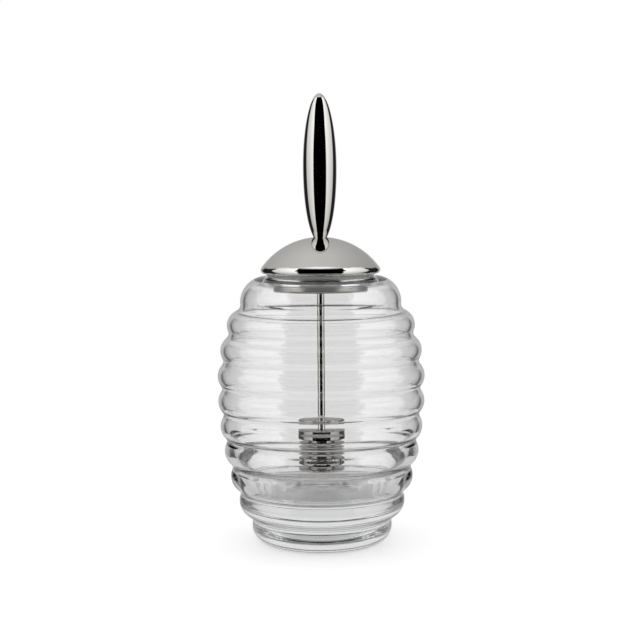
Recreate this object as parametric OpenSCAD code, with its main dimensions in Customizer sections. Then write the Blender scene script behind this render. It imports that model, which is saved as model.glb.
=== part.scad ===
// Beehive honey pot: a ribbed glass pot, and a steel lid that carries its handle and its dipper.
// Millimetres, +Z up. The origin is the middle of the pot's underside, on its axis.

/* [Glass pot] */
// Largest radius of the belly, over its ribs
belly_r = 50.3; // [49:0.1:53]
// Height of the belly's widest level
belly_z = 77.8; // [75:0.1:80]
// Reach of the belly's curve above its widest level
belly_up = 66; // [64.5:0.5:71]
// Reach of the belly's curve below its widest level
belly_down = 97; // [93:0.5:104]
// Number of ribs between the foot and the shoulder
rib_count = 8; // [7:1:8]
// Spacing of the ribs
rib_pitch = 12.25; // [11.9:0.05:12.6]
// Roundness of each rib
rib_round = 7.5; // [7.1:0.1:7.9]
// Roundness of the groove between two ribs
groove_round = 3.2; // [2.8:0.1:3.6]
// Outer radius of the foot
foot_r = 34.2; // [33:0.1:35.5]
// Roundness of the foot
foot_round = 7.9; // [7.3:0.1:8.5]
// Width of the flat land between the mouth's edge and the shoulder's curve
mouth_land = 1; // [0:0.1:2]
// Roundness of the shoulder
shoulder_round = 12.5; // [11.8:0.1:13]
// Height of the shoulder's widest level above the last rib
shoulder_step = 11.15; // [10.6:0.05:12]
// Radius of the hollow under the base
dish_r = 22; // [16:0.5:24]
// Depth of the hollow under the base
dish_depth = 1.2; // [0.6:0.1:2]

/* [Inside of the pot] */
// Thickness of the blown wall at the belly's ribs
belly_wall = 2.2; // [1.9:0.1:3]
// Height below which the wall gets thicker towards the base
thick_from = 60; // [55:1:66]
// Thickness of the wall at the lowest rib that shows inside
base_wall = 7.9; // [6.5:0.1:8.6]
// Thickness of the solid glass under the hollow
base_glass = 24; // [20:0.5:28]
// Width of the curve between the wall and the hollow's floor
floor_round = 14; // [10:0.5:20]
// Thickness of the wall at the shoulder
shoulder_wall = 2.2; // [2:0.1:3.4]
// Angle above level, on the shoulder's curve, where the hollow's roof ends
roof_angle = 62; // [56:1:68]
// Radius of the mouth
mouth_r = 24; // [21.6:0.1:27]
// Height of the mouth's wall
mouth_wall = 4.4; // [4.2:0.1:5.4]
// Roundness of the mouth's edges
mouth_round = 1.5; // [0.8:0.1:2]

/* [Lid] */
// Reach of the lid's rim beyond the mouth
lid_overhang = 4.9; // [4.5:0.1:6]
// Radius of curvature of the lid's dome
dome_round = 35.1; // [34:0.1:40]
// Roundness of the rolled rim
rim_round = 1.8; // [1.6:0.1:2.4]
// Thickness of the dome's steel
dome_steel = 0.8; // [0.6:0.1:1]
// Radius of the flat seat for the handle
seat_r = 3.3; // [3.2:0.1:4.4]
// Radius of the flat seat inside the dome, for the washer
inner_seat_r = 4.4; // [4.3:0.1:6]
// Width of the rim's edge turned in under the pan
hem = 1.5; // [1:0.1:1.8]
// Play between the lid's collar and the mouth
collar_fit = 1.2; // [0.9:0.1:2]
// Depth of the collar below the pot's top
collar_depth = 7; // [4.8:0.2:9]
// Thickness of the pan's steel
pan_steel = 0.6; // [0.5:0.1:0.8]
// Roundness of the collar's bottom edge
collar_round = 1.2; // [0.9:0.1:2]

/* [Seal] */
// Thickness of the seal's flange between the pot and the rim
seal_flange = 0.9; // [0.5:0.1:1.4]
// Reach of the seal's flange beyond the mouth
seal_reach = 1.8; // [1:0.1:2.2]
// Thickness of the seal's sleeve
seal_wall = 0.5; // [0.3:0.1:0.6]
// Depth of the seal's sleeve in the mouth
seal_depth = 3.4; // [2:0.2:4.2]
// Height of the lip round the seal's sleeve
seal_lip = 0.8; // [0.5:0.1:1]
// Gap that lets the lid turn in the seal and the seal slide in the mouth
seal_gap = 0.15; // [0.1:0.05:0.2]

/* [Handle] */
// Length of the handle
handle_length = 68.7; // [61:0.1:78]
// Largest radius of the handle
handle_r = 8.1; // [7.4:0.1:9]
// Height of the handle's widest level above its foot
handle_waist = 33.7; // [31:0.1:35]
// Reach of the handle's curve below its widest level
handle_down = 36.5; // [36.2:0.1:37.5]
// Power of the handle's curve above its widest level
handle_tip_power = 1.95; // [1.7:0.05:2.3]
// Power of the handle's curve below its widest level
handle_foot_power = 2.15; // [2:0.05:2.3]
// Depth of the threaded hole in the handle
handle_hole = 17; // [10:0.5:22]

/* [Stem and fasteners] */
// Radius of the stem
stem_r = 1.75; // [1.5:0.05:2]
// Length of the stem's thread inside the handle
stem_in_handle = 16; // [8:0.5:16.5]
// Length of the stem inside the dipper's head
stem_in_head = 14; // [8:0.5:18]
// Gap round the stem where it passes a hole
stem_gap = 0.1; // [0.05:0.05:0.2]
// Outer radius of the washer
washer_r = 4; // [3.6:0.1:4.2]
// Thickness of the washer
washer_t = 0.6; // [0.4:0.1:1]
// Width of the nut across its flats
nut_width = 6; // [5.5:0.5:7]
// Height of the nut
nut_height = 2.8; // [2:0.2:3.6]
// Outer radius of the bush's sleeve in the pan
bush_r = 3; // [2.8:0.1:3.4]
// Outer radius of the bush's flange
bush_flange_r = 4.4; // [4:0.1:5]
// Thickness of the bush's flange
bush_flange = 0.9; // [0.6:0.1:1.4]
// Length of the bush below the pan
bush_below = 0.5; // [0.3:0.1:1]

/* [Dipper head] */
// Height of the dipper's lower end above the table
dipper_z = 31.5; // [28:0.5:36]
// Height of the cap at the top of the head
cap_height = 6.6; // [4:0.2:8]
// Radius of the cap and the rings
ring_r = 11.4; // [9:0.1:12]
// Radius of the core between the rings
core_r = 6.4; // [5:0.1:7.5]
// Number of rings under the cap
ring_count = 4; // [3:1:5]
// Thickness of a ring at its edge
ring_edge = 1.6; // [1:0.1:2]
// Thickness of a ring at the core
ring_root = 2.4; // [2:0.1:2.6]
// Spacing of the rings
ring_pitch = 4.6; // [4:0.1:5]
// Size of the bevels on the cap and the rings
ring_bevel = 0.4; // [0.2:0.1:0.6]

/* [Hidden] */

$fn = 72;
steps_per_rib = 8;
steps_per_groove = 4;
steps_per_corner = 5;
inner_steps_per_rib = 6;
inner_steps_per_groove = 3;

glass = [0.86, 0.91, 0.92, 0.35];
polished_steel = [0.80, 0.79, 0.78];
clear_rubber = [0.90, 0.90, 0.88, 0.8];
zinc = [0.66, 0.66, 0.67];

// Levels of the pot
first_rib_z = foot_round + rib_pitch;
last_rib_z = first_rib_z + (rib_count - 1) * rib_pitch;
shoulder_z = last_rib_z + shoulder_step;
shoulder_r = mouth_r + mouth_round + mouth_land + shoulder_round;
pot_top = shoulder_z + shoulder_round;
mouth_low = pot_top - mouth_wall;
low_inner_z = first_rib_z + rib_pitch;

// Radii that follow the mouth's
lid_r = mouth_r + lid_overhang;
collar_r = mouth_r - collar_fit;
seal_r = mouth_r + seal_reach;

// Levels of the lid
rim_bottom = pot_top + seal_flange + 2 * seal_gap;
rim_z = rim_bottom + rim_round;
rim_centre_r = lid_r - rim_round;
dome_z = rim_z - sqrt(pow(dome_round - rim_round, 2) - pow(rim_centre_r, 2));
dome_angle = atan2(rim_z - dome_z, rim_centre_r);
seat_z = dome_z + sqrt(pow(dome_round, 2) - pow(seat_r, 2));
dome_inner = dome_round - dome_steel;
inner_seat_z = dome_z + sqrt(pow(dome_inner, 2) - pow(inner_seat_r, 2));
pan_z = rim_bottom + dome_steel;
collar_bottom = pot_top - collar_depth;
bush_top = collar_bottom + pan_steel + bush_flange;

// Levels of the dipper
head_height = cap_height + ring_count * ring_pitch;
head_top = dipper_z + head_height;
stem_bottom = head_top - stem_in_head;
stem_top = seat_z + stem_in_handle;
stem_hole_r = stem_r + stem_gap;

// Points on an arc about a centre, from one angle to another, without the first point if it is shared
function arc(c, r, from, to, n, first = 0) =
    [for (i = [first:n]) let (a = from + (to - from) * i / n) [c[0] + r * cos(a), c[1] + r * sin(a)]];

function direction(p, q) = atan2(q[1] - p[1], q[0] - p[0]);
function whole_turn(a) = a < 0 ? a + 360 : a;
function reversed(points) = [for (i = [len(points) - 1:-1:0]) points[i]];

// Outer radius that the ribs' tops follow, at a height
function belly(z) =
    let (reach = z > belly_z ? belly_up : belly_down)
    belly_r * sqrt(1 - pow((z - belly_z) / reach, 2));

// Thickness of the wall at a rib's height, which grows towards the base
function wall(z) =
    let (share = max(thick_from - z, 0) / (thick_from - low_inner_z))
    belly_wall + (base_wall - belly_wall) * share * share;

// The foot, the ribs and the shoulder, from the bottom: centre radius, centre height, roundness
rings = concat(
    [[foot_r - foot_round, foot_round, foot_round]],
    [for (i = [0:rib_count - 1]) let (z = first_rib_z + i * rib_pitch)
        [belly(z) - rib_round, z, rib_round]],
    [[shoulder_r - shoulder_round, shoulder_z, shoulder_round]]
);

// The same rings as the blown wall has them inside, without the two that the solid base fills
inner_round = rib_round - belly_wall;
inner_rings = concat(
    [for (i = [1:rib_count - 1]) let (z = first_rib_z + i * rib_pitch)
        [belly(z) - wall(z) - inner_round, z, inner_round]],
    [[shoulder_r - shoulder_round, shoulder_z, shoulder_round - shoulder_wall]]
);

// Centre of the groove that touches two neighbouring rings
function groove_centre(low, high, groove) =
    let (
        step = [high[0] - low[0], high[1] - low[1]],
        span = norm(step),
        along = step / span,
        reach_low = low[2] + groove,
        reach_high = high[2] + groove,
        foot = (pow(reach_low, 2) - pow(reach_high, 2) + pow(span, 2)) / (2 * span),
        out = sqrt(pow(reach_low, 2) - pow(foot, 2))
    )
    [low[0] + along[0] * foot + along[1] * out, low[1] + along[1] * foot - along[0] * out];

// A groove's arc between two rings, without the ends that it shares with them
function groove_arc(centre, groove, low, high, steps) =
    let (
        from = whole_turn(direction(centre, low)),
        to = whole_turn(direction(centre, high)),
        points = arc(centre, groove, from, to, steps)
    )
    [for (k = [1:steps - 1]) points[k]];

// A ribbed wall, from an angle on its lowest ring to an angle on its top one
function ribbed_wall(rings, groove, start, end, ring_steps, groove_steps) =
    let (
        last = len(rings) - 1,
        grooves = [for (i = [0:last - 1]) groove_centre(rings[i], rings[i + 1], groove)]
    )
    [
        for (i = [0:last])
            let (
                from = i == 0 ? start : direction(rings[i], grooves[i - 1]),
                to = i == last ? end : direction(rings[i], grooves[i])
            )
            each concat(
                arc(rings[i], rings[i][2], from, to, ring_steps),
                i == last ? [] : groove_arc(grooves[i], groove, rings[i], rings[i + 1], groove_steps)
            )
    ];

outer_wall = ribbed_wall(rings, groove_round, -90, 90, steps_per_rib, steps_per_groove);
hollow_wall = ribbed_wall(
    inner_rings, groove_round + belly_wall, 0, roof_angle, inner_steps_per_rib, inner_steps_per_groove);

// Curve from the lowest inner rib down to the flat floor of the hollow
low_inner_r = inner_rings[0][0] + inner_round;
floor_steps = 2 * steps_per_corner;
floor_curve = [
    for (i = [1:floor_steps])
        let (a = 90 * i / floor_steps)
        [low_inner_r - floor_round * (1 - cos(a)), low_inner_z - (low_inner_z - base_glass) * sin(a)]
];

inner_wall = concat(
    arc([mouth_r + mouth_round, pot_top - mouth_round], mouth_round, 90, 180, steps_per_corner),
    arc([mouth_r + mouth_round, mouth_low + mouth_round], mouth_round, 180, 270, steps_per_corner),
    reversed(hollow_wall),
    floor_curve,
    [[0, base_glass]]
);

// Hollow under the base: a shallow dome, from the middle out to the flat of the foot
underside = [for (i = [0:steps_per_corner])
    let (t = i / steps_per_corner) [dish_r * t, dish_depth * (1 - t * t)]];

module glass_pot() {
    color(glass)
        rotate_extrude()
            polygon(concat(underside, outer_wall, inner_wall));
}

// Soft ring round the collar: a flange under the rim, and a sleeve with a lip in the mouth
module seal_ring() {
    inner_r = collar_r + seal_gap;
    sleeve_r = inner_r + seal_wall;
    lip_r = mouth_r - seal_gap;
    flange_bottom = pot_top + seal_gap;
    sleeve_bottom = pot_top - seal_depth;
    lip_z = sleeve_bottom + seal_lip;
    color(clear_rubber)
        rotate_extrude()
            polygon([
                [inner_r, sleeve_bottom],
                [sleeve_r, sleeve_bottom],
                [lip_r, lip_z],
                [sleeve_r, lip_z + seal_lip],
                [sleeve_r, flange_bottom],
                [seal_r, flange_bottom],
                [seal_r, flange_bottom + seal_flange],
                [inner_r, flange_bottom + seal_flange]
            ]);
}

// Pressed shell: a dome whose rim rolls under and turns in to hold the pan
module lid_dome() {
    rim = [rim_centre_r, rim_z];
    dome = [0, dome_z];
    hem_r = rim_centre_r - hem;
    inner_start = atan2(inner_seat_z - dome_z, inner_seat_r);
    outer_start = atan2(seat_z - dome_z, seat_r);
    color(polished_steel)
        rotate_extrude()
            polygon(concat(
                [[stem_hole_r, seat_z]],
                arc(dome, dome_round, outer_start, dome_angle, 2 * steps_per_rib),
                arc(rim, rim_round, dome_angle, -90, steps_per_rib, 1),
                [[hem_r, rim_bottom], [hem_r, pan_z]],
                arc(rim, rim_round - dome_steel, -90, dome_angle, steps_per_rib),
                arc(dome, dome_inner, dome_angle, inner_start, 2 * steps_per_rib, 1),
                [[stem_hole_r, inner_seat_z]]
            ));
}

// Pan that closes the lid from below: a flange on the rim's hem, a collar and a flat bottom
module lid_pan() {
    flange_r = rim_centre_r;
    inner_r = collar_r - pan_steel;
    hole_r = bush_r + stem_gap;
    outer_corner = [collar_r - collar_round, collar_bottom + collar_round];
    color(polished_steel)
        rotate_extrude()
            polygon(concat(
                [[hole_r, collar_bottom]],
                arc(outer_corner, collar_round, -90, 0, steps_per_corner),
                [
                    [collar_r, pan_z],
                    [flange_r, pan_z],
                    [flange_r, pan_z + pan_steel],
                    [inner_r, pan_z + pan_steel]
                ],
                arc(outer_corner, collar_round - pan_steel, 0, -90, steps_per_corner),
                [[hole_r, collar_bottom + pan_steel]]
            ));
}

// Radius of the handle at a height above its foot
function handle_radius(h) =
    let (
        above = h > handle_waist,
        reach = above ? handle_length - handle_waist : handle_down,
        power = above ? handle_tip_power : handle_foot_power
    )
    handle_r * sqrt(max(1 - pow(abs(h - handle_waist) / reach, power), 0));

// Solid spindle that stands on the dome, with a threaded hole up from its foot
module handle() {
    low_steps = 12;
    high_steps = 20;
    low = [for (i = [0:low_steps]) handle_waist * i / low_steps];
    high = [for (i = [1:high_steps])
        handle_waist + (handle_length - handle_waist) * sin(90 * i / high_steps)];
    color(polished_steel)
        difference() {
            translate([0, 0, seat_z])
                rotate_extrude()
                    polygon(concat([[0, 0]], [for (h = concat(low, high)) [handle_radius(h), h]]));
            translate([0, 0, seat_z - handle_hole])
                cylinder(r = stem_hole_r, h = 2 * handle_hole);
        }
}

module stem() {
    color(polished_steel)
        translate([0, 0, stem_bottom])
            cylinder(r = stem_r, h = stem_top - stem_bottom);
}

module washer() {
    color(zinc)
        translate([0, 0, inner_seat_z - washer_t])
            difference() {
                cylinder(r = washer_r, h = washer_t);
                translate([0, 0, -1])
                    cylinder(r = stem_hole_r, h = washer_t + 2);
            }
}

module lock_nut() {
    color(zinc)
        translate([0, 0, inner_seat_z - washer_t - nut_height])
            difference() {
                cylinder(d = nut_width / cos(30), h = nut_height, $fn = 6);
                translate([0, 0, -1])
                    cylinder(r = stem_hole_r, h = nut_height + 2);
            }
}

// Bush that centres the stem in the pan: a flange inside the pan and a sleeve through its hole
module stem_bush() {
    color(clear_rubber)
        difference() {
            union() {
                translate([0, 0, collar_bottom - bush_below])
                    cylinder(r = bush_r, h = bush_top - collar_bottom + bush_below);
                translate([0, 0, collar_bottom + pan_steel])
                    cylinder(r = bush_flange_r, h = bush_flange);
            }
            translate([0, 0, collar_bottom - bush_below - 1])
                cylinder(r = stem_hole_r, h = bush_top - collar_bottom + bush_below + 2);
        }
}

// Outline of one ring of the head, from its lower edge at the core to its upper edge
function ring_outline(z) =
    let (flat = (ring_root - ring_edge) / 2, top = z + ring_root)
    [
        [core_r, z],
        [ring_r - ring_bevel, z + flat],
        [ring_r, z + flat + ring_bevel],
        [ring_r, top - flat - ring_bevel],
        [ring_r - ring_bevel, top - flat],
        [core_r, top]
    ];

// Turned head: rings on a core, under a plain cap, with a blind hole for the stem
module dipper_head() {
    cap_z = head_top - cap_height;
    color(polished_steel)
        difference() {
            rotate_extrude()
                polygon(concat(
                    [[0, dipper_z]],
                    [for (i = [0:ring_count - 1]) each ring_outline(dipper_z + i * ring_pitch)],
                    [
                        [core_r, cap_z],
                        [ring_r - ring_bevel, cap_z],
                        [ring_r, cap_z + ring_bevel],
                        [ring_r, head_top - ring_bevel],
                        [ring_r - ring_bevel, head_top],
                        [0, head_top]
                    ]
                ));
            translate([0, 0, stem_bottom])
                cylinder(r = stem_hole_r, h = stem_in_head + 1);
        }
}

glass_pot();
seal_ring();
lid_dome();
lid_pan();
handle();
stem();
lock_nut();
washer();
stem_bush();
dipper_head();
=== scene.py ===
"""Looks of a beehive honey pot: ribbed glass under a polished steel lid that carries its dipper."""
import math

import bpy
from mathutils import Matrix, Vector


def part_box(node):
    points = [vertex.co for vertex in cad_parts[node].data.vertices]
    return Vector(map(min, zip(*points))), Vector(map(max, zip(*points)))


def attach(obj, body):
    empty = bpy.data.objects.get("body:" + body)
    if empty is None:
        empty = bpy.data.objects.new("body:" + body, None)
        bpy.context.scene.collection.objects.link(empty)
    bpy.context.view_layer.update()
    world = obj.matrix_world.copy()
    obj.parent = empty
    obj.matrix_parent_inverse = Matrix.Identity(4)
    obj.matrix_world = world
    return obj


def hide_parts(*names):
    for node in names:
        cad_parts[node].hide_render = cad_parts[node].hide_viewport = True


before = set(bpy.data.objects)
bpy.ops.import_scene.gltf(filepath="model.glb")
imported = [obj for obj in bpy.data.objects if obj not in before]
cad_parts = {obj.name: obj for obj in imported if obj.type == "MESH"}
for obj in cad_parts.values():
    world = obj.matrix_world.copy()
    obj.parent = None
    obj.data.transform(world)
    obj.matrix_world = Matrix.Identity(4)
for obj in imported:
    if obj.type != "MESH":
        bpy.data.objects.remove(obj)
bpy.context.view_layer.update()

MM = 0.001

# Glass pot, in millimetres, as the frame's solids have it
BELLY_R = 50.3
BELLY_Z = 77.8
BELLY_UP = 66
BELLY_DOWN = 97
RIB_COUNT = 8
RIB_PITCH = 12.25
RIB_ROUND = 7.5
GROOVE_ROUND = 3.2
FOOT_R = 34.2
FOOT_ROUND = 7.9
MOUTH_LAND = 1
SHOULDER_ROUND = 12.5
DISH_R = 22
DISH_DEPTH = 1.2

# Inside of the pot
BELLY_WALL = 2.2
THICK_FROM = 60
BASE_WALL = 7.9
BASE_GLASS = 24
FLOOR_ROUND = 14
SHOULDER_WALL = 2.2
ROOF_ANGLE = 62
MOUTH_R = 24
MOUTH_WALL = 4.4
MOUTH_ROUND = 1.5

# Lid
LID_OVERHANG = 4.9
DOME_ROUND = 35.1
RIM_ROUND = 1.8
DOME_STEEL = 0.8
SEAT_R = 3.3
INNER_SEAT_R = 4.4
HEM = 1.5
COLLAR_FIT = 1.2
PAN_STEEL = 0.6
COLLAR_ROUND = 1.2
SEAL_WALL = 0.5
SEAL_LIP = 0.8
SEAL_GAP = 0.15

# Handle and stem
HANDLE_R = 8.1
HANDLE_WAIST = 33.7
HANDLE_DOWN = 36.5
HANDLE_TIP_POWER = 1.95
HANDLE_FOOT_POWER = 2.15
STEM_R = 1.75
STEM_GAP = 0.1
BUSH_R = 3
BUSH_FLANGE_R = 4.4
BUSH_FLANGE = 0.9

# Dipper's head
CAP_HEIGHT = 6.6
RING_R = 11.4
CORE_R = 6.4
RING_COUNT = 4
RING_EDGE = 1.6
RING_ROOT = 2.4
RING_PITCH = 4.6
RING_BEVEL = 0.4
RING_SUNK = 0.4
RING_LIFT = 0.02

# Levels that come from the frame
POT_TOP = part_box("glass_pot")[1].z / MM
RIM_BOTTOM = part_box("lid_dome")[0].z / MM
HANDLE_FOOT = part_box("handle")[0].z / MM
HANDLE_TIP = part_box("handle")[1].z / MM
COLLAR_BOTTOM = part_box("lid_pan")[0].z / MM
STEM_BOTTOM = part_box("stem")[0].z / MM
STEM_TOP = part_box("stem")[1].z / MM
BUSH_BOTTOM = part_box("stem_bush")[0].z / MM
DIPPER_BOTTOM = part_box("dipper_head")[0].z / MM
DIPPER_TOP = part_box("dipper_head")[1].z / MM
SEAL_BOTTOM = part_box("seal_ring")[0].z / MM
SEAL_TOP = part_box("seal_ring")[1].z / MM
SEAL_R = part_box("seal_ring")[1].x / MM

# How finely round things are divided
POT_SEGMENTS = 128
STEEL_SEGMENTS = 144
STEM_SEGMENTS = 48
STEPS_PER_RIB = 30
RING_SHARE = 0.35
FLOOR_STEPS = 16
FOOT_STEPS = 20
SHOULDER_STEPS = 30
EDGE_STEPS = 10
DOME_STEPS = 48
RIM_STEPS = 24
HEM_STEPS = 12
SPINDLE_FOOT_STEPS = 48
SPINDLE_TIP_STEPS = 96
SHARP_ANGLE = math.radians(25)
WELD = 0.001

# Keeps a point that starts an interval from being rounded into the one before it
INTERVAL_NUDGE = 0.0001


def add_node(tree, kind, *values, **settings):
    """Adds a node: its settings by name, and its first inputs in order, as links or as numbers."""
    node = tree.nodes.new(kind)
    for name, value in settings.items():
        setattr(node, name, value)
    for socket, value in zip(node.inputs, values):
        if isinstance(value, bpy.types.Node):
            value = value.outputs[0]
        if isinstance(value, bpy.types.NodeSocket):
            tree.links.new(value, socket)
        elif value is not None:
            socket.default_value = value
    return node


def linear(hex_colour):
    """An sRGB colour such as "#C9C6C2" as linear red, green, blue and alpha."""
    shares = [int(hex_colour[i:i + 2], 16) / 255 for i in (1, 3, 5)]
    return [c / 12.92 if c <= 0.04045 else ((c + 0.055) / 1.055) ** 2.4 for c in shares] + [1]


def new_material(name):
    """An empty material and its tree, with a Principled shader joined to its output."""
    material = bpy.data.materials.new(name)
    material.use_nodes = True
    tree = material.node_tree
    tree.nodes.clear()
    shader = add_node(tree, "ShaderNodeBsdfPrincipled")
    output = add_node(tree, "ShaderNodeOutputMaterial", shader)
    return material, tree, shader, output


def uneven_roughness(tree, shader, roughness, noise, detail, spread=(0.3, 0.7), stretch=(1, 1, 1)):
    """Roughness between two limits, by a noise in Object coordinates that is stretched along the axes."""
    place = add_node(tree, "ShaderNodeTexCoord").outputs["Object"]
    stretched = add_node(tree, "ShaderNodeMapping", place)
    stretched.inputs["Scale"].default_value = stretch
    grain = add_node(tree, "ShaderNodeTexNoise", stretched, None, noise, detail)
    rough = add_node(tree, "ShaderNodeMapRange", grain.outputs["Fac"], *spread, *roughness)
    tree.links.new(rough.outputs[0], shader.inputs["Roughness"])


def metal(name, colour, **grain):
    """A metal of a colour, whose roughness varies with its grain."""
    material, tree, shader, output = new_material(name)
    uneven_roughness(tree, shader, **grain)
    shader.inputs["Base Color"].default_value = linear(colour)
    shader.inputs["Metallic"].default_value = 1
    return material


def polished_steel():
    """18/10 stainless steel, spun or turned and mirror polished, with the buffing wheel's last haze."""
    return metal(
        "polished_stainless_steel", "#D0CECB", roughness=(0.02, 0.045), noise=60, detail=3,
        spread=(0.35, 0.75),
    )


def pressed_steel():
    """Pressed stainless sheet of the pan, left satin: a soft grey with a fine drawn grain."""
    return metal(
        "satin_pressed_steel", "#B4B2AF", roughness=(0.26, 0.4), noise=350, detail=3, stretch=(1, 1, 12)
    )


def turned_steel_painted_darker():
    """Bright turned steel of the dipper's head, with the tool's fine rings. Its colour is painted shade: the
    same steel as the lid, painted darker for the dark studio front that it mirrors.
    """
    return metal(
        # This grey is painted shade, darker than the lid's #D0CECB steel
        "turned_steel_with_painted_shade", "#B0AEAB", roughness=(0.03, 0.08), noise=6000, detail=2,
        stretch=(0.05, 0.05, 1),
    )


def zinc_plate():
    """Zinc-plated steel of the nut and the washer: grey, with a satin grain."""
    return metal("zinc_plated_steel", "#C4C5C8", roughness=(0.28, 0.42), noise=900, detail=2)


def blown_glass():
    """Clear soda-lime glass, blown in a ribbed mould and fire-polished. Its mass is faintly grey."""
    material, tree, shader, output = new_material("blown_glass")
    shader.inputs["Base Color"].default_value = linear("#FFFFFF")
    shader.inputs["Roughness"].default_value = 0
    shader.inputs["IOR"].default_value = 1.52
    shader.inputs["Transmission Weight"].default_value = 1
    volume = add_node(tree, "ShaderNodeVolumeAbsorption", linear("#F1F3F3"), 6.0)
    tree.links.new(volume.outputs[0], output.inputs["Volume"])
    return material


def clear_silicone():
    """Moulded clear silicone of the seal and the bush: milky, soft and slightly matt."""
    material, tree, shader, output = new_material("clear_silicone")
    uneven_roughness(tree, shader, roughness=(0.3, 0.4), noise=400, detail=2)
    shader.inputs["Base Color"].default_value = linear("#EDEDEB")
    shader.inputs["IOR"].default_value = 1.42
    shader.inputs["Transmission Weight"].default_value = 0.4
    return material


def arc(centre, radius, start, end, steps, first=0):
    """Points on an arc about a centre, between two angles in degrees. A shared first one can be left out."""
    turns = [math.radians(start + (end - start) * i / steps) for i in range(first, steps + 1)]
    return [(centre[0] + radius * math.cos(t), centre[1] + radius * math.sin(t)) for t in turns]


# Levels and sizes of the pot that follow from these
FIRST_RIB_Z = FOOT_ROUND + RIB_PITCH
SHOULDER_Z = POT_TOP - SHOULDER_ROUND
SHOULDER_R = MOUTH_R + MOUTH_ROUND + MOUTH_LAND + SHOULDER_ROUND
INNER_ROUND = RIB_ROUND - BELLY_WALL
LOW_INNER_Z = FIRST_RIB_Z + RIB_PITCH


def crest(z):
    """Outer radius that the ribs' tops follow, at a height."""
    reach = BELLY_UP if z > BELLY_Z else BELLY_DOWN
    return BELLY_R * math.sqrt(1 - ((z - BELLY_Z) / reach) ** 2)


def wall(z):
    """Thickness of the glass at a rib's height, which grows towards the base."""
    share = max(THICK_FROM - z, 0) / (THICK_FROM - LOW_INNER_Z)
    return BELLY_WALL + (BASE_WALL - BELLY_WALL) * share ** 2


def inner_rings():
    """Inside of the shoulder and of the ribs, from the top down: centre and roundness of each."""
    rings = [(Vector((SHOULDER_R - SHOULDER_ROUND, SHOULDER_Z)), SHOULDER_ROUND - SHOULDER_WALL)]
    for i in range(RIB_COUNT - 1, 0, -1):
        z = FIRST_RIB_Z + i * RIB_PITCH
        rings.append((Vector((crest(z) - wall(z) - INNER_ROUND, z)), INNER_ROUND))
    return rings


def groove_centre(upper, lower, groove):
    """Centre of the groove that touches two rings."""
    step = lower[0] - upper[0]
    along = step.normalized()
    reach = upper[1] + groove
    foot = (reach ** 2 - (lower[1] + groove) ** 2 + step.length ** 2) / (2 * step.length)
    return upper[0] + along * foot + Vector((-along.y, along.x)) * math.sqrt(reach ** 2 - foot ** 2)


def inner_wall():
    """Inside of the shoulder and the ribs, from the roof down, as arcs that touch one another."""
    rings = inner_rings()
    groove = GROOVE_ROUND + BELLY_WALL
    steps = STEPS_PER_RIB // 2
    points = []
    angle = ROOF_ANGLE
    for upper, lower in zip(rings, rings[1:]):
        centre = groove_centre(upper, lower, groove)
        leaves, meets = (
            math.degrees(math.atan2(centre.y - ring[0].y, centre.x - ring[0].x))
            for ring in (upper, lower)
        )
        points += arc(upper[0], upper[1], angle, leaves, steps)
        points += arc(centre, -groove, leaves, meets, steps, 1)[:-1]
        angle = meets
    lowest, roundness = rings[-1]
    return points + arc(lowest, roundness, angle, 0, steps)


def pot_below_ribs():
    """Outline of the hollow under the base and the foot's lower quarter, from the axis outwards."""
    steps = FLOOR_STEPS
    dish = [(DISH_R * i / steps, DISH_DEPTH * (1 - (i / steps) ** 2)) for i in range(steps + 1)]
    return dish + arc((FOOT_R - FOOT_ROUND, FOOT_ROUND), FOOT_ROUND, -90, 0, FOOT_STEPS)[:-1]


def pot_above_ribs():
    """Outline of the shoulder's top, the mouth and the whole hollow, ending on the axis."""
    low = POT_TOP - MOUTH_WALL
    hollow = inner_wall()
    wall_r, wall_z = hollow[-1]
    steps = FLOOR_STEPS
    turns = [math.pi / 2 * i / steps for i in range(1, steps + 1)]
    floor_r = wall_r - FLOOR_ROUND
    floor_curve = [
        (floor_r + FLOOR_ROUND * math.cos(t), wall_z - (wall_z - BASE_GLASS) * math.sin(t))
        for t in turns
    ]
    return (
        arc((SHOULDER_R - SHOULDER_ROUND, SHOULDER_Z), SHOULDER_ROUND, 0, 90, SHOULDER_STEPS, 1)
        + arc((MOUTH_R + MOUTH_ROUND, POT_TOP - MOUTH_ROUND), MOUTH_ROUND, 90, 180, EDGE_STEPS)
        + arc((MOUTH_R + MOUTH_ROUND, low + MOUTH_ROUND), MOUTH_ROUND, 180, 270, EDGE_STEPS)
        + hollow
        + floor_curve
        + [(floor_r * (1 - i / steps), BASE_GLASS) for i in range(1, steps + 1)]
    )


def new_tree(name, **sizes):
    """A Geometry Nodes tree with a geometry in and out, and one named input for each size."""
    tree = bpy.data.node_groups.new(name, "GeometryNodeTree")
    tree.interface.new_socket("Geometry", in_out="INPUT", socket_type="NodeSocketGeometry")
    tree.interface.new_socket("Geometry", in_out="OUTPUT", socket_type="NodeSocketGeometry")
    for label, kind in sizes.items():
        socket_type = "NodeSocket" + kind
        tree.interface.new_socket(label.replace("_", " "), in_out="INPUT", socket_type=socket_type)
    return tree, add_node(tree, "NodeGroupInput").outputs


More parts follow.
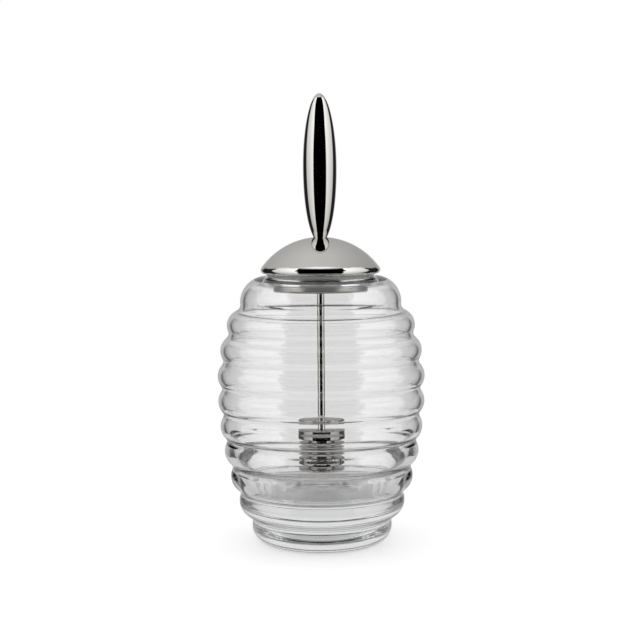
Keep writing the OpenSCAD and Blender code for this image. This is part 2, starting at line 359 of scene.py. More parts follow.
def turning_tree():
    """Turns an outline round the axis, and welds its seam and its poles.

    The outline is points at (radius, 0, height), in order, with the solid on their left.
    """
    tree, given = new_tree("turned_outline", Segments="Int", Material="Material")
    rows = add_node(tree, "GeometryNodeAttributeDomainSize", given["Geometry"])
    columns = add_node(tree, "ShaderNodeMath", given["Segments"], 1, operation="ADD")
    sheet = add_node(tree, "GeometryNodeMeshGrid", 1, 1, rows.outputs["Point Count"], columns)
    spot = add_node(tree, "ShaderNodeSeparateXYZ", add_node(tree, "GeometryNodeInputPosition"))
    across = add_node(tree, "ShaderNodeMath", spot.outputs["X"], 0.5, operation="ADD")
    last_row = add_node(tree, "ShaderNodeMath", rows.outputs["Point Count"], 1, operation="SUBTRACT")
    row = add_node(tree, "ShaderNodeMath", across, last_row, operation="MULTIPLY")
    whole_row = add_node(tree, "ShaderNodeMath", row, operation="ROUND")
    round_share = add_node(tree, "ShaderNodeMath", spot.outputs["Y"], 0.5, operation="ADD")
    angle = add_node(tree, "ShaderNodeMath", round_share, math.tau, operation="MULTIPLY")
    here = add_node(tree, "GeometryNodeInputPosition")
    point = add_node(
        tree, "GeometryNodeSampleIndex", given["Geometry"], here, whole_row, data_type="FLOAT_VECTOR"
    )
    turned = add_node(tree, "ShaderNodeVectorRotate", point, None, None, angle, rotation_type="Z_AXIS")
    tree.links.new(angle.outputs[0], turned.inputs["Angle"])
    placed = add_node(tree, "GeometryNodeSetPosition", sheet, None, turned)
    welded = add_node(tree, "GeometryNodeMergeByDistance", placed)
    welded.inputs["Distance"].default_value = WELD * MM
    outward = add_node(tree, "GeometryNodeFlipFaces", welded)
    smooth = add_node(tree, "GeometryNodeSetShadeSmooth", outward)
    done = add_node(tree, "GeometryNodeSetMaterial", smooth)
    tree.links.new(given["Material"], done.inputs["Material"])
    add_node(tree, "NodeGroupOutput", done)
    return tree


def ring_centre_tree():
    """Centre and roundness of one ring of the pot's wall: the foot is 0, then ribs, then the shoulder."""
    tree = bpy.data.node_groups.new("ring_centre", "GeometryNodeTree")
    for label in (
        "Ring", "Ribs", "Pitch", "Rib Round", "Belly Radius", "Belly Height", "Reach Up", "Reach Down",
        "Foot Radius", "Foot Round", "Shoulder Radius", "Shoulder Height", "Shoulder Round",
    ):
        tree.interface.new_socket(label, in_out="INPUT", socket_type="NodeSocketFloat")
    tree.interface.new_socket("Centre", in_out="OUTPUT", socket_type="NodeSocketVector")
    tree.interface.new_socket("Round", in_out="OUTPUT", socket_type="NodeSocketFloat")
    given = add_node(tree, "NodeGroupInput").outputs

    climb = add_node(tree, "ShaderNodeMath", given["Ring"], given["Pitch"], operation="MULTIPLY")
    rib_z = add_node(tree, "ShaderNodeMath", climb, given["Foot Round"], operation="ADD")
    off = add_node(tree, "ShaderNodeMath", rib_z, given["Belly Height"], operation="SUBTRACT")
    above = add_node(tree, "ShaderNodeMath", off, 0, operation="GREATER_THAN")
    reach = add_node(
        tree, "GeometryNodeSwitch", above, given["Reach Down"], given["Reach Up"], input_type="FLOAT"
    )
    share = add_node(tree, "ShaderNodeMath", off, reach, operation="DIVIDE")
    square = add_node(tree, "ShaderNodeMath", share, share, operation="MULTIPLY")
    rest = add_node(tree, "ShaderNodeMath", 1, square, operation="SUBTRACT")
    root = add_node(tree, "ShaderNodeMath", rest, operation="SQRT")
    crest_r = add_node(tree, "ShaderNodeMath", root, given["Belly Radius"], operation="MULTIPLY")
    rib_r = add_node(tree, "ShaderNodeMath", crest_r, given["Rib Round"], operation="SUBTRACT")
    rib = add_node(tree, "ShaderNodeCombineXYZ", rib_r, 0, rib_z)

    foot_r = add_node(
        tree, "ShaderNodeMath", given["Foot Radius"], given["Foot Round"], operation="SUBTRACT"
    )
    foot = add_node(tree, "ShaderNodeCombineXYZ", foot_r, 0, given["Foot Round"])
    top_r = add_node(
        tree, "ShaderNodeMath", given["Shoulder Radius"], given["Shoulder Round"], operation="SUBTRACT"
    )
    shoulder = add_node(tree, "ShaderNodeCombineXYZ", top_r, 0, given["Shoulder Height"])

    is_rib = add_node(tree, "ShaderNodeMath", given["Ring"], 0.5, operation="GREATER_THAN")
    past_ribs = add_node(tree, "ShaderNodeMath", given["Ring"], given["Ribs"], operation="SUBTRACT")
    is_top = add_node(tree, "ShaderNodeMath", past_ribs, 0.5, operation="GREATER_THAN")
    low = add_node(tree, "GeometryNodeSwitch", is_rib, foot, rib, input_type="VECTOR")
    centre = add_node(tree, "GeometryNodeSwitch", is_top, low, shoulder, input_type="VECTOR")
    low_round = add_node(
        tree, "GeometryNodeSwitch", is_rib, given["Foot Round"], given["Rib Round"], input_type="FLOAT"
    )
    roundness = add_node(
        tree, "GeometryNodeSwitch", is_top, low_round, given["Shoulder Round"], input_type="FLOAT"
    )
    add_node(tree, "NodeGroupOutput", centre, roundness)
    return tree


def ribbed_pot_tree(turning):
    """Puts the ribs into the pot's plain outline and turns it.

    Each interval runs from the widest point of one ring to that of the next: up the lower ring's arc,
    along the groove that touches both, and up the upper ring's arc.
    """
    sizes = {
        "Points_Below": "Int", "Steps": "Int", "Segments": "Int", "Ribs": "Int", "Pitch": "Float",
        "Rib_Round": "Float", "Belly_Radius": "Float", "Belly_Height": "Float", "Reach_Up": "Float",
        "Reach_Down": "Float", "Foot_Radius": "Float", "Foot_Round": "Float", "Shoulder_Radius": "Float",
        "Shoulder_Height": "Float", "Shoulder_Round": "Float", "Groove_Round": "Float",
        "Material": "Material",
    }
    tree, given = new_tree("ribbed_pot", **sizes)
    ring_tree = ring_centre_tree()

    # Which interval an outline point is in, and how far along it
    intervals = add_node(tree, "ShaderNodeMath", given["Ribs"], 1, operation="ADD")
    rib_steps = add_node(tree, "ShaderNodeMath", intervals, given["Steps"], operation="MULTIPLY")
    rib_points = add_node(tree, "ShaderNodeMath", rib_steps, 1, operation="ADD")
    plain = add_node(tree, "GeometryNodeAttributeDomainSize", given["Geometry"])
    count = add_node(tree, "ShaderNodeMath", plain.outputs["Point Count"], rib_points, operation="ADD")
    index = add_node(tree, "GeometryNodeInputIndex")
    past = add_node(tree, "ShaderNodeMath", index, given["Points Below"], operation="SUBTRACT")
    progress = add_node(tree, "ShaderNodeMath", past, given["Steps"], operation="DIVIDE")
    nudged = add_node(tree, "ShaderNodeMath", progress, INTERVAL_NUDGE, operation="ADD")
    interval = add_node(tree, "ShaderNodeMath", nudged, operation="FLOOR")
    lower = add_node(tree, "ShaderNodeMath", interval, given["Ribs"], operation="MINIMUM")
    upper = add_node(tree, "ShaderNodeMath", lower, 1, operation="ADD")
    along = add_node(tree, "ShaderNodeMath", progress, lower, operation="SUBTRACT")

    # The two rings of the interval
    rings = []
    for number in (lower, upper):
        ring = add_node(tree, "GeometryNodeGroup", node_tree=ring_tree)
        tree.links.new(number.outputs[0], ring.inputs["Ring"])
        for socket in ring.inputs[1:]:
            tree.links.new(given[socket.name], socket)
        rings.append(ring)
    low, high = rings

    # Centre of the groove that touches both rings
    step = add_node(
        tree, "ShaderNodeVectorMath", high.outputs["Centre"], low.outputs["Centre"], operation="SUBTRACT"
    )
    span = add_node(tree, "ShaderNodeVectorMath", step, operation="LENGTH").outputs["Value"]
    unit = add_node(tree, "ShaderNodeVectorMath", step, operation="NORMALIZE")
    low_reach, high_reach = (
        add_node(tree, "ShaderNodeMath", ring.outputs["Round"], given["Groove Round"], operation="ADD")
        for ring in rings
    )
    low_square = add_node(tree, "ShaderNodeMath", low_reach, low_reach, operation="MULTIPLY")
    high_square = add_node(tree, "ShaderNodeMath", high_reach, high_reach, operation="MULTIPLY")
    span_square = add_node(tree, "ShaderNodeMath", span, span, operation="MULTIPLY")
    difference = add_node(tree, "ShaderNodeMath", low_square, high_square, operation="SUBTRACT")
    total = add_node(tree, "ShaderNodeMath", difference, span_square, operation="ADD")
    double_span = add_node(tree, "ShaderNodeMath", span, 2, operation="MULTIPLY")
    foot = add_node(tree, "ShaderNodeMath", total, double_span, operation="DIVIDE")
    foot_square = add_node(tree, "ShaderNodeMath", foot, foot, operation="MULTIPLY")
    out_square = add_node(tree, "ShaderNodeMath", low_square, foot_square, operation="SUBTRACT")
    out = add_node(tree, "ShaderNodeMath", out_square, operation="SQRT")
    outward = add_node(tree, "ShaderNodeVectorRotate", unit, rotation_type="Y_AXIS")
    outward.inputs["Angle"].default_value = math.pi / 2
    move_along = add_node(tree, "ShaderNodeVectorMath", unit, operation="SCALE")
    tree.links.new(foot.outputs[0], move_along.inputs["Scale"])
    move_out = add_node(tree, "ShaderNodeVectorMath", outward, operation="SCALE")
    tree.links.new(out.outputs[0], move_out.inputs["Scale"])
    beside = add_node(tree, "ShaderNodeVectorMath", low.outputs["Centre"], move_along, operation="ADD")
    groove = add_node(tree, "ShaderNodeVectorMath", beside, move_out, operation="ADD")

    # Angle at which each ring meets the groove
    meets = []
    for ring in rings:
        towards = add_node(
            tree, "ShaderNodeVectorMath", groove, ring.outputs["Centre"], operation="SUBTRACT"
        )
        parts = add_node(tree, "ShaderNodeSeparateXYZ", towards)
        meets.append(
            add_node(tree, "ShaderNodeMath", parts.outputs["Z"], parts.outputs["X"], operation="ARCTAN2")
        )
    low_meet, high_meet = meets

    # One point on each of the three arcs, of which the interval's stretch picks one
    stretches = (
        (low.outputs["Centre"], low.outputs["Round"], 0, low_meet, 0, RING_SHARE, 1),
        (groove, given["Groove Round"], low_meet, high_meet, RING_SHARE, 1 - RING_SHARE, -1),
        (high.outputs["Centre"], high.outputs["Round"], high_meet, 0, 1 - RING_SHARE, 1, 1),
    )
    places = []
    for centre, roundness, start, end, begins, ends, side in stretches:
        turn = add_node(tree, "ShaderNodeMapRange", along, begins, ends, start, end)
        turn.clamp = False
        direction = add_node(tree, "ShaderNodeCombineXYZ", None, 0, None)
        cosine = add_node(tree, "ShaderNodeMath", turn, operation="COSINE")
        sine = add_node(tree, "ShaderNodeMath", turn, operation="SINE")
        tree.links.new(cosine.outputs[0], direction.inputs["X"])
        tree.links.new(sine.outputs[0], direction.inputs["Z"])
        reach = add_node(tree, "ShaderNodeMath", roundness, side, operation="MULTIPLY")
        arm = add_node(tree, "ShaderNodeVectorMath", direction, operation="SCALE")
        tree.links.new(reach.outputs[0], arm.inputs["Scale"])
        places.append(add_node(tree, "ShaderNodeVectorMath", centre, arm, operation="ADD"))
    in_groove = add_node(tree, "ShaderNodeMath", along, RING_SHARE, operation="GREATER_THAN")
    in_upper = add_node(tree, "ShaderNodeMath", along, 1 - RING_SHARE, operation="GREATER_THAN")
    on_low, on_groove, on_high = places
    first_two = add_node(
        tree, "GeometryNodeSwitch", in_groove, on_low, on_groove, input_type="VECTOR"
    )
    rib_place = add_node(tree, "GeometryNodeSwitch", in_upper, first_two, on_high, input_type="VECTOR")

    # The plain outline's own points come before and after the ribs
    before = add_node(tree, "ShaderNodeMath", past, 0, operation="LESS_THAN")
    after = add_node(tree, "ShaderNodeMath", progress, intervals, operation="GREATER_THAN")
    is_plain = add_node(tree, "ShaderNodeMath", before, after, operation="ADD")
    skipped = add_node(tree, "ShaderNodeMath", index, rib_points, operation="SUBTRACT")
    plain_index = add_node(tree, "GeometryNodeSwitch", before, skipped, index, input_type="FLOAT")
    here = add_node(tree, "GeometryNodeInputPosition")
    plain_place = add_node(
        tree, "GeometryNodeSampleIndex", given["Geometry"], here, plain_index, data_type="FLOAT_VECTOR"
    )
    place = add_node(tree, "GeometryNodeSwitch", is_plain, rib_place, plain_place, input_type="VECTOR")
    line = add_node(tree, "GeometryNodeMeshLine", count)
    outline = add_node(tree, "GeometryNodeSetPosition", line, None, place)
    turned = add_node(
        tree, "GeometryNodeGroup", outline, given["Segments"], given["Material"], node_tree=turning
    )
    whole = add_node(tree, "GeometryNodeRealizeInstances", turned)
    done = add_node(tree, "GeometryNodeSetMaterial", whole)
    tree.links.new(given["Material"], done.inputs["Material"])
    add_node(tree, "NodeGroupOutput", done)
    return tree


def stacked_rings_tree(turning):
    """Turns one ring's outline and stacks copies of it up the axis."""
    tree, given = new_tree(
        "stacked_rings", Count="Int", Pitch="Float", Segments="Int", Material="Material"
    )
    ring = add_node(
        tree, "GeometryNodeGroup", given["Geometry"], given["Segments"], given["Material"],
        node_tree=turning,
    )
    step = add_node(tree, "ShaderNodeCombineXYZ", 0, 0, given["Pitch"])
    line = add_node(tree, "GeometryNodeMeshLine", given["Count"])
    tree.links.new(step.outputs[0], line.inputs["Offset"])
    stack = add_node(tree, "GeometryNodeInstanceOnPoints", line, None, ring)
    whole = add_node(tree, "GeometryNodeRealizeInstances", stack)
    done = add_node(tree, "GeometryNodeSetMaterial", whole)
    tree.links.new(given["Material"], done.inputs["Material"])
    add_node(tree, "NodeGroupOutput", done)
    return tree


def made_by(tree, name, outline, **values):
    """A mesh object that a tree makes of an outline in millimetres, with the tree's inputs set by name."""
    mesh = bpy.data.meshes.new(name + "_outline")
    mesh.from_pydata([(r * MM, 0, z * MM) for r, z in outline], [], [])
    source = bpy.data.objects.new(name + "_outline", mesh)
    bpy.context.scene.collection.objects.link(source)
    modifier = source.modifiers.new(name, "NODES")
    modifier.node_group = tree
    identifiers = {
        item.name: item.identifier
        for item in tree.interface.items_tree
        if item.item_type == "SOCKET" and item.in_out == "INPUT"
    }
    for label, value in values.items():
        modifier[identifiers[label.replace("_", " ")]] = value
    graph = bpy.context.evaluated_depsgraph_get()
    graph.update()
    result = bpy.data.meshes.new_from_object(source.evaluated_get(graph), depsgraph=graph)
    result.name = name
    result.set_sharp_from_angle(angle=SHARP_ANGLE)
    piece = bpy.data.objects.new(name, result)
    bpy.context.scene.collection.objects.link(piece)
    source.modifiers.remove(modifier)
    bpy.data.objects.remove(source)
    return piece


def joined(name, pieces):
    """Several objects made one."""
    with bpy.context.temp_override(
        active_object=pieces[0], selected_editable_objects=pieces, object=pieces[0]
    ):
        bpy.ops.object.join()
    pieces[0].name = name
    return pieces[0]


def finish_piece(piece, body, slot, *nodes):
    """Ties a piece to the body that it moves with, and hides the frame's nodes that it stands for. Its slot
    is not used.
    """
    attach(piece, body)
    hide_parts(*nodes)


def dome_outline():
    """The cap's shell: the dome, the rim that rolls under, its hem, and back up the inner side."""
    rim_r = MOUTH_R + LID_OVERHANG - RIM_ROUND
    rim_z = RIM_BOTTOM + RIM_ROUND
    dome_z = rim_z - math.sqrt((DOME_ROUND - RIM_ROUND) ** 2 - rim_r ** 2)
    edge = math.degrees(math.atan2(rim_z - dome_z, rim_r))
    inner = DOME_ROUND - DOME_STEEL
    seat = math.degrees(math.acos(SEAT_R / DOME_ROUND))
    inner_seat = math.degrees(math.acos(INNER_SEAT_R / inner))
    hole = STEM_R + STEM_GAP
    seat_z = dome_z + DOME_ROUND * math.sin(math.radians(seat))
    inner_seat_z = dome_z + inner * math.sin(math.radians(inner_seat))
    points = (
        [(hole, inner_seat_z), (hole, seat_z)]
        + arc((0, dome_z), DOME_ROUND, seat, edge, DOME_STEPS)
        + arc((rim_r, rim_z), RIM_ROUND, edge, -90, RIM_STEPS, 1)
        + [(rim_r - HEM, RIM_BOTTOM), (rim_r - HEM, RIM_BOTTOM + DOME_STEEL)]
        + arc((rim_r, rim_z), RIM_ROUND - DOME_STEEL, -90, edge, HEM_STEPS)
        + arc((0, dome_z), inner, edge, inner_seat, DOME_STEPS, 1)
        + [(hole, inner_seat_z)]
    )
    return points[::-1]


def pan_outline():
    """The pan: a flange on the rim's hem, the collar that goes into the mouth, and the flat bottom."""
    rim_r = MOUTH_R + LID_OVERHANG - RIM_ROUND
    flange_z = RIM_BOTTOM + DOME_STEEL
    flange_top = flange_z + PAN_STEEL
    collar = MOUTH_R - COLLAR_FIT
    corner = (collar - COLLAR_ROUND, COLLAR_BOTTOM + COLLAR_ROUND)
    hole = BUSH_R + STEM_GAP
    return (
        [(hole, COLLAR_BOTTOM)]
        + arc(corner, COLLAR_ROUND, -90, 0, EDGE_STEPS)
        + [(collar, flange_z), (rim_r, flange_z), (rim_r, flange_top), (collar - PAN_STEEL, flange_top)]
        + arc(corner, COLLAR_ROUND - PAN_STEEL, 0, -90, EDGE_STEPS)
        + [(hole, COLLAR_BOTTOM + PAN_STEEL), (hole, COLLAR_BOTTOM)]
    )


def seal_outline():
    """The seal: a sleeve with a lip in the mouth and a flange between the pot and the rim."""
    inner = MOUTH_R - COLLAR_FIT + SEAL_GAP
    sleeve = inner + SEAL_WALL
    lip_z = SEAL_BOTTOM + SEAL_LIP
    flange_z = POT_TOP + SEAL_GAP
    return [
        (inner, SEAL_BOTTOM), (sleeve, SEAL_BOTTOM), (MOUTH_R - SEAL_GAP, lip_z),
        (sleeve, lip_z + SEAL_LIP), (sleeve, flange_z), (SEAL_R, flange_z), (SEAL_R, SEAL_TOP),
        (inner, SEAL_TOP), (inner, SEAL_BOTTOM),
    ]


def handle_outline():
    """The spindle: an oval curve from its foot on the dome to its rounded tip."""
    length = HANDLE_TIP - HANDLE_FOOT
    low = [HANDLE_WAIST * i / SPINDLE_FOOT_STEPS for i in range(SPINDLE_FOOT_STEPS + 1)]
    high = [
        HANDLE_WAIST + (length - HANDLE_WAIST) * math.sin(math.pi / 2 * i / SPINDLE_TIP_STEPS)
        for i in range(1, SPINDLE_TIP_STEPS + 1)
    ]
    points = [(0, HANDLE_FOOT)]
    for h in low + high:
        above = h > HANDLE_WAIST
        reach = length - HANDLE_WAIST if above else HANDLE_DOWN
        power = HANDLE_TIP_POWER if above else HANDLE_FOOT_POWER
        share = min(abs(h - HANDLE_WAIST) / reach, 1) ** power
        points.append((HANDLE_R * math.sqrt(1 - share), HANDLE_FOOT + h))
    return points


def ring_outline():
    """The lowest ring of the dipper's head, from the core outwards and back, with bevelled edges."""
    flat = (RING_ROOT - RING_EDGE) / 2
    inside = CORE_R - RING_SUNK
    low = DIPPER_BOTTOM
    root = low + RING_LIFT
    top = low + RING_ROOT
    return [
        (inside, root), (CORE_R, root), (RING_R - RING_BEVEL, low + flat),
        (RING_R, low + flat + RING_BEVEL), (RING_R, top - flat - RING_BEVEL),
        (RING_R - RING_BEVEL, top - flat), (CORE_R, top), (inside, top), (inside, root),
    ]


def dipper_core_outline():
    """The dipper head's core under its plain cap."""
    cap = DIPPER_TOP - CAP_HEIGHT
    return [
        (0, DIPPER_BOTTOM), (CORE_R, DIPPER_BOTTOM), (CORE_R, cap), (RING_R - RING_BEVEL, cap),
        (RING_R, cap + RING_BEVEL), (RING_R, DIPPER_TOP - RING_BEVEL), (RING_R - RING_BEVEL, DIPPER_TOP),
        (0, DIPPER_TOP),
    ]


def make_object():
    """Every piece that shows, made, given its finish and tied to its body."""
    glass = blown_glass()
    steel = polished_steel()
    satin = pressed_steel()
    shaded_turned_steel = turned_steel_painted_darker()
    zinc = zinc_plate()
    silicone = clear_silicone()
    turning = turning_tree()

    below = pot_below_ribs()
    pot = made_by(
        ribbed_pot_tree(turning), "ribbed_pot", below + pot_above_ribs(),
        Points_Below=len(below), Steps=STEPS_PER_RIB, Segments=POT_SEGMENTS, Ribs=RIB_COUNT,
        Pitch=RIB_PITCH * MM, Rib_Round=RIB_ROUND * MM, Belly_Radius=BELLY_R * MM,
        Belly_Height=BELLY_Z * MM, Reach_Up=BELLY_UP * MM, Reach_Down=BELLY_DOWN * MM,
        Foot_Radius=FOOT_R * MM, Foot_Round=FOOT_ROUND * MM, Shoulder_Radius=SHOULDER_R * MM,
        Shoulder_Height=SHOULDER_Z * MM, Shoulder_Round=SHOULDER_ROUND * MM,
        Groove_Round=GROOVE_ROUND * MM, Material=glass,
    )
    finish_piece(pot, "pot", "pot_glass", "glass_pot")

    seal = made_by(turning, "lid_seal", seal_outline(), Segments=STEEL_SEGMENTS, Material=silicone)
    finish_piece(seal, "seal", "clear_seal", "seal_ring")

    stem = [(0, STEM_BOTTOM), (STEM_R, STEM_BOTTOM), (STEM_R, STEM_TOP), (0, STEM_TOP)]
    for name, outline, segments, node, finish in (
        ("domed_cap", dome_outline(), STEEL_SEGMENTS, "lid_dome", steel),
        ("cap_pan", pan_outline(), STEEL_SEGMENTS, "lid_pan", satin),
        ("spindle_handle", handle_outline(), STEEL_SEGMENTS, "handle", steel),
        ("dipper_stem", stem, STEM_SEGMENTS, "stem", steel),
    ):
        piece = made_by(turning, name, outline, Segments=segments, Material=finish)
        finish_piece(piece, "lid", "polished_steel", node)

    core = made_by(
        turning, "dipper_core", dipper_core_outline(), Segments=STEEL_SEGMENTS, Material=shaded_turned_steel
    )
    rings = made_by(
        stacked_rings_tree(turning), "dipper_rings", ring_outline(),
        Count=RING_COUNT, Pitch=RING_PITCH * MM, Segments=STEEL_SEGMENTS, Material=shaded_turned_steel,
    )
    finish_piece(joined("turned_dipper_head", [core, rings]), "lid", "polished_steel", "dipper_head")

    hole = STEM_R + STEM_GAP
    flange_z = COLLAR_BOTTOM + PAN_STEEL
    bush_outline = [
        (hole, BUSH_BOTTOM), (BUSH_R, BUSH_BOTTOM), (BUSH_R, flange_z), (BUSH_FLANGE_R, flange_z),
        (BUSH_FLANGE_R, flange_z + BUSH_FLANGE), (hole, flange_z + BUSH_FLANGE), (hole, BUSH_BOTTOM),
    ]
    bush = made_by(turning, "pan_bush", bush_outline, Segments=STEM_SEGMENTS, Material=silicone)
    finish_piece(bush, "lid", "clear_seal", "stem_bush")

    for node in ("lock_nut", "washer"):
        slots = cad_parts[node].data.materials
        slots.clear()
        slots.append(zinc)


# Table top: its radius and how far it lies below the pot, in metres, and how much it lights itself, for
# the camera and in what the steel and the glass show
FLOOR_R = 0.22
FLOOR_SIDES = 96
FLOOR_DROP = 0.0001
FLOOR_LIFT = 0.45
FLOOR_MIRRORED = 0.06

# Studio. Bearings go from the front, 0 to 180 degrees to either side, and heights from the horizon. A blur
# is how wide an edge fades, in degrees

# Dark front, and the white side panels: the bearings of their edges, how these lean with height, and how
# the brightness falls with bearing and rises with height, by the degree
FRONT_LEVEL = 0.0
PANEL_FRONT = 45
PANEL_FRONT_BLUR = 3
PANEL_FRONT_LEAN = 0.7
PANEL_LEAN_FROM = 20
PANEL_BACK = 102
PANEL_BACK_BLUR = 5
PANEL_BACK_LEAN = 0.45
PANEL_LEVEL = 1.73
PANEL_FALL = 0.009
PANEL_RISE = 0.011

# Dark flags behind the panels, and the backdrop between these
FLAG_LEVEL = 0.02
FLAG_SOFTENED = 0.08
BACKDROP_EDGE = 150
BACKDROP_BLUR = 8
BACKDROP_LEVEL = 0.8
BACKDROP_MIRRORED = 0.52
BACKDROP_TOP = 0.45
BACKDROP_SPREAD = 40

# Ceiling, with the heights of its edge as shares of 90 degrees, and the brightness of the strip light that
# runs along the edge, both by bearing
CEILING_EDGE = (
    (0, 0.79), (20, 0.785), (38, 0.765), (54, 0.735), (68, 0.698), (80, 0.655), (90, 0.609), (98, 0.578),
    (113, 0.478), (122, 0.4), (137, 0.278), (155, 0.156), (180, 0.1),
)
CEILING_BLUR = 2
CEILING_HEIGHTS = (10, 75)
CEILING_LEVELS = (0.45, 0.77)
CEILING_LEAN = 0.15
STRIP_FADE = ((0, 1), (30, 1), (45, 0.7), (70, 0.15), (90, 0), (180, 0))
STRIP_LEVEL = 0.65
STRIP_WIDTH = 3
STRIP_BLUR = 1.5


def make_floor():
    """A white round table top. It shows white to the camera, and keeps the shadow that the pot casts."""
    material, tree, shader, output = new_material("white_laminate")
    shader.inputs["Base Color"].default_value = linear("#F4F4F4")
    shader.inputs["Roughness"].default_value = 0.6
    path = add_node(tree, "ShaderNodeLightPath").outputs
    mirrored = add_node(
        tree, "ShaderNodeMath", path["Is Glossy Ray"], path["Is Transmission Ray"], operation="ADD"
    )
    part = add_node(tree, "ShaderNodeMath", mirrored, FLOOR_MIRRORED, operation="MULTIPLY")
    lift = add_node(
        tree, "ShaderNodeMath", path["Is Camera Ray"], FLOOR_LIFT, part, operation="MULTIPLY_ADD"
    )
    shader.inputs["Emission Color"].default_value = linear("#FFFFFF")
    tree.links.new(lift.outputs[0], shader.inputs["Emission Strength"])
    mesh = bpy.data.meshes.new("table_top")
    turns = [math.tau * i / FLOOR_SIDES for i in range(FLOOR_SIDES)]
    corners = [(FLOOR_R * math.cos(t), FLOOR_R * math.sin(t), -FLOOR_DROP) for t in turns]
    mesh.from_pydata(corners, [], [range(FLOOR_SIDES)])
    mesh.materials.append(material)
    floor = bpy.data.objects.new("table_top", mesh)
    bpy.context.scene.collection.objects.link(floor)


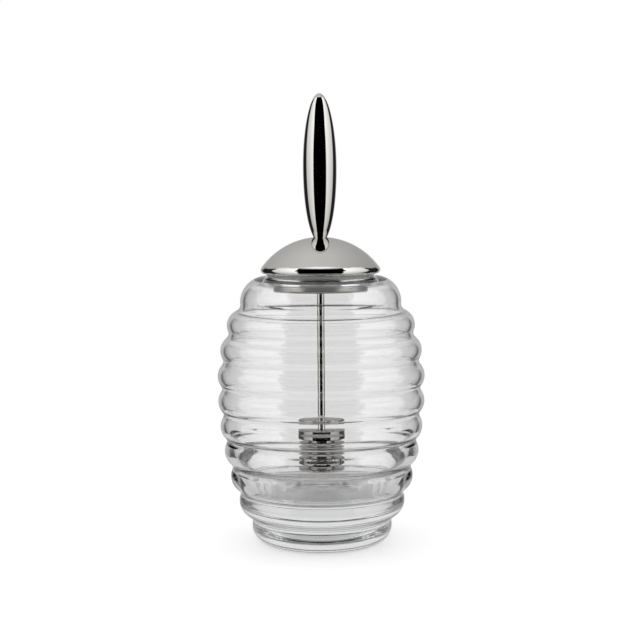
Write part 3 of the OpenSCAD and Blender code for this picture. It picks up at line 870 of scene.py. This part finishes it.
def make_world():
    """A studio for the steel and the glass to reflect.

    In front it is dark. White panels stand at both sides, with dark flags behind them and a pale
    backdrop between these. A grey ceiling lies over everything. Its edge is highest in front, where a
    strip light runs along it, and comes down towards the back.
    """
    world = bpy.data.worlds.new("studio")
    bpy.context.scene.world = world
    world.use_nodes = True
    tree = world.node_tree
    tree.nodes.clear()

    # Bearing and height of the ray, in degrees
    direction = add_node(tree, "ShaderNodeTexCoord").outputs["Generated"]
    parts = add_node(tree, "ShaderNodeSeparateXYZ", direction).outputs
    sideways = add_node(tree, "ShaderNodeMath", parts["X"], operation="ABSOLUTE")
    forward = add_node(tree, "ShaderNodeMath", parts["Y"], -1, operation="MULTIPLY")
    turn = add_node(tree, "ShaderNodeMath", sideways, forward, operation="ARCTAN2")
    bearing = add_node(tree, "ShaderNodeMath", turn, 180 / math.pi, operation="MULTIPLY")
    rise = add_node(tree, "ShaderNodeMath", parts["Z"], operation="ARCSINE")
    height = add_node(tree, "ShaderNodeMath", rise, 180 / math.pi, operation="MULTIPLY")

    # Light that only passes through glass sees the backdrop in front too, so that the glass is as clear
    # from behind
    path = add_node(tree, "ShaderNodeLightPath").outputs
    reflected = add_node(tree, "ShaderNodeMath", path["Glossy Depth"], 0.5, operation="GREATER_THAN")
    passed = add_node(tree, "ShaderNodeMath", 1, reflected, operation="SUBTRACT")
    opposite = add_node(tree, "ShaderNodeMath", 180, bearing, operation="SUBTRACT")
    rearmost = add_node(tree, "ShaderNodeMath", bearing, opposite, operation="MAXIMUM")
    bearing = add_node(tree, "ShaderNodeMix", reflected, None, rearmost, bearing)

    # Edge of the ceiling and brightness of the strip light, by bearing
    share = add_node(tree, "ShaderNodeMath", bearing, 1 / 180, operation="MULTIPLY")
    curves = []
    for stops in (CEILING_EDGE, STRIP_FADE):
        curve = add_node(tree, "ShaderNodeFloatCurve", 1, share)
        points = curve.mapping.curves[0].points
        for i, (degrees, value) in enumerate(stops):
            point = points[i] if i < 2 else points.new(degrees / 180, value)
            point.location = (degrees / 180, value)
            point.handle_type = "VECTOR"
        curve.mapping.update()
        curves.append(curve)
    lifted = add_node(tree, "ShaderNodeMath", passed, BACKDROP_TOP, operation="MULTIPLY")
    highest = add_node(tree, "ShaderNodeMath", curves[0], lifted, operation="MAXIMUM")
    edge = add_node(tree, "ShaderNodeMath", highest, 90, operation="MULTIPLY")
    over = add_node(tree, "ShaderNodeMath", height, edge, operation="SUBTRACT")

    # Ceiling: paler overhead, and a little brighter on the left
    overhead = add_node(tree, "ShaderNodeMapRange", height, *CEILING_HEIGHTS, *CEILING_LEVELS)
    leftward = add_node(tree, "ShaderNodeMath", parts["X"], -CEILING_LEAN, 1, operation="MULTIPLY_ADD")
    ceiling = add_node(tree, "ShaderNodeMath", overhead, leftward, operation="MULTIPLY")
    strip_end = add_node(tree, "ShaderNodeMapRange", over, STRIP_WIDTH, STRIP_WIDTH + STRIP_BLUR, 1, 0)
    strip = add_node(tree, "ShaderNodeMath", curves[1], strip_end, operation="MULTIPLY")
    above = add_node(tree, "ShaderNodeMath", strip, STRIP_LEVEL, ceiling, operation="MULTIPLY_ADD")

    # Side panels: brighter towards the camera and towards the top. Their edges lean with height
    along = add_node(tree, "ShaderNodeMath", bearing, -PANEL_FALL, PANEL_LEVEL, operation="MULTIPLY_ADD")
    panel = add_node(tree, "ShaderNodeMath", height, PANEL_RISE, along, operation="MULTIPLY_ADD")
    raised = add_node(tree, "ShaderNodeMath", height, PANEL_LEAN_FROM, operation="SUBTRACT")
    lean = add_node(tree, "ShaderNodeMath", raised, 0, operation="MAXIMUM")
    panel_front = add_node(
        tree, "ShaderNodeMath", lean, -PANEL_FRONT_LEAN, bearing, operation="MULTIPLY_ADD"
    )
    panel_back = add_node(
        tree, "ShaderNodeMath", height, -PANEL_BACK_LEAN, bearing, operation="MULTIPLY_ADD"
    )

    # The flags look softer through glass
    through = add_node(tree, "ShaderNodeMath", path["Transmission Depth"], 0.5, operation="GREATER_THAN")
    flag = add_node(tree, "ShaderNodeMath", through, FLAG_SOFTENED, FLAG_LEVEL, operation="MULTIPLY_ADD")

    # The backdrop is wider and paler through glass, and darker in what the steel and the glass mirror, so
    # that their outlines stay grey
    bearing_back = add_node(
        tree, "ShaderNodeMath", passed, BACKDROP_SPREAD, bearing, operation="MULTIPLY_ADD"
    )
    paler = BACKDROP_LEVEL - BACKDROP_MIRRORED
    backdrop = add_node(
        tree, "ShaderNodeMath", passed, paler, BACKDROP_MIRRORED, operation="MULTIPLY_ADD"
    )

    level = FRONT_LEVEL
    for place, start, blur, zone in (
        (panel_front, PANEL_FRONT, PANEL_FRONT_BLUR, panel),
        (panel_back, PANEL_BACK, PANEL_BACK_BLUR, flag),
        (bearing_back, BACKDROP_EDGE, BACKDROP_BLUR, backdrop),
        (over, 0, CEILING_BLUR, above),
    ):
        crossing = add_node(tree, "ShaderNodeMapRange", place, start - blur / 2, start + blur / 2)
        level = add_node(tree, "ShaderNodeMix", crossing, None, level, zone)
    studio = add_node(tree, "ShaderNodeBackground", level, 1)
    white = add_node(tree, "ShaderNodeBackground", linear("#FFFFFF"), 1)
    seen = add_node(tree, "ShaderNodeMixShader", path["Is Camera Ray"], studio, white)
    add_node(tree, "ShaderNodeOutputWorld", seen)


# Camera: where it stands in metres, how far down it looks and how it is rolled in degrees, its focal
# length and its sensor in millimetres, and its sideways shift as a share of the picture's width
CAMERA_DISTANCE = 0.65
CAMERA_HEIGHT = 0.16735
CAMERA_PITCH = 5.213
CAMERA_ROLL = -0.4
CAMERA_LENS = 75.68
CAMERA_SENSOR = 36
CAMERA_SHIFT = -0.8 / 640


def make_camera():
    """A camera at the photograph's viewing angle."""
    data = bpy.data.cameras.new("camera")
    data.sensor_width = CAMERA_SENSOR
    data.lens = CAMERA_LENS
    data.shift_x = CAMERA_SHIFT
    camera = bpy.data.objects.new("camera", data)
    bpy.context.scene.collection.objects.link(camera)
    tilt = Matrix.Rotation(math.radians(90 - CAMERA_PITCH), 4, "X")
    roll = Matrix.Rotation(math.radians(CAMERA_ROLL), 4, "Z")
    camera.matrix_world = Matrix.Translation((0, -CAMERA_DISTANCE, CAMERA_HEIGHT)) @ tilt @ roll
    bpy.context.scene.camera = camera


make_object()
make_floor()
make_world()
make_camera()
bpy.context.scene.view_settings.view_transform = "Standard"
